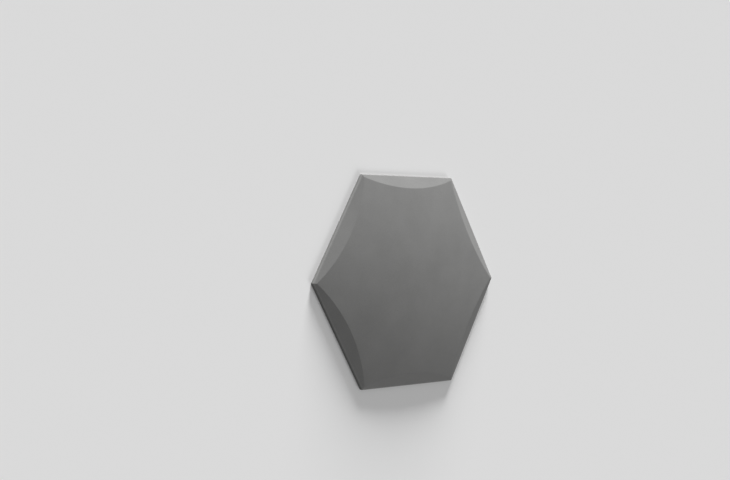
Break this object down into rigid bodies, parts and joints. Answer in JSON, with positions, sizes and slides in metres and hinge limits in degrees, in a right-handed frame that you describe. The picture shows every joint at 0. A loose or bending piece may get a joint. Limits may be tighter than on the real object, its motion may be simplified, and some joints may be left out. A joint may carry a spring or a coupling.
{
  "type": "hexagonal 3d wall panel tile",
  "caption": "Hexagonal relief wall tile cast in one piece: a shallow domed face cut by sloping facets that leave curved creases, a thin square rim and a flat back.",
  "frame": {"origin": "centre of the flat back, on the floor that the tile lies on", "axes": "+Z out of the face, along the tile's thickness; +X towards a corner, the right-hand one in the picture; +Y towards the middle of a flat side, the top one in the picture"},
  "size_m": [0.2996, 0.2598, 0.0205],
  "materials": {
    "cast_concrete": "matte"
  },
  "bodies": {
    "root": {"wall_tile": "cast_concrete"}
  },
  "joints": []
}
